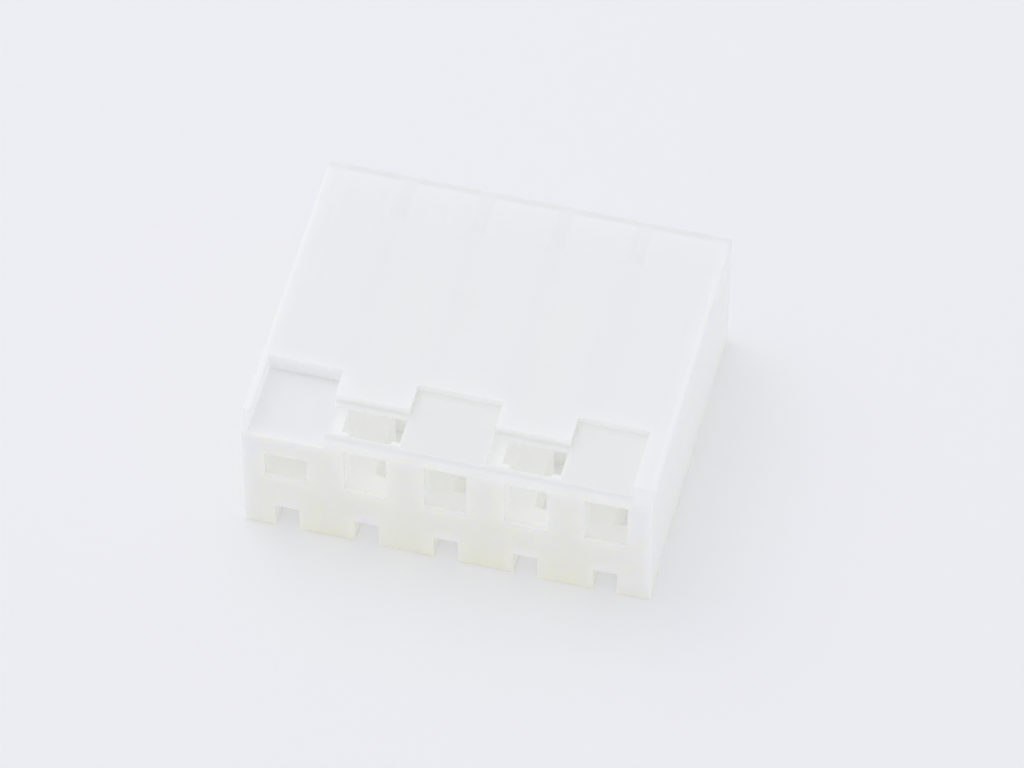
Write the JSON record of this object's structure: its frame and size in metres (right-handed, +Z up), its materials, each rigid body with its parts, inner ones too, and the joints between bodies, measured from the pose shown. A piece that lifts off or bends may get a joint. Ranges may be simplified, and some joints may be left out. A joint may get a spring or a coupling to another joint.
{
  "type": "wire to board connector housing",
  "caption": "Single-row crimp terminal housing in milky natural nylon, keyed at one end, with pin openings, top windows, lance grooves and flared wire entries.",
  "frame": {"origin": "middle of the flat underside that the housing rests on", "axes": "+X along the row of circuits away from the keyed one, -Y out of the mating face, +Y out of the wire face, +Z up"},
  "size_m": [0.0204, 0.0166, 0.0079],
  "materials": {
    "natural_nylon": "satin, milky and translucent, as moulded"
  },
  "bodies": {
    "root": {"housing": "natural_nylon"}
  },
  "joints": []
}
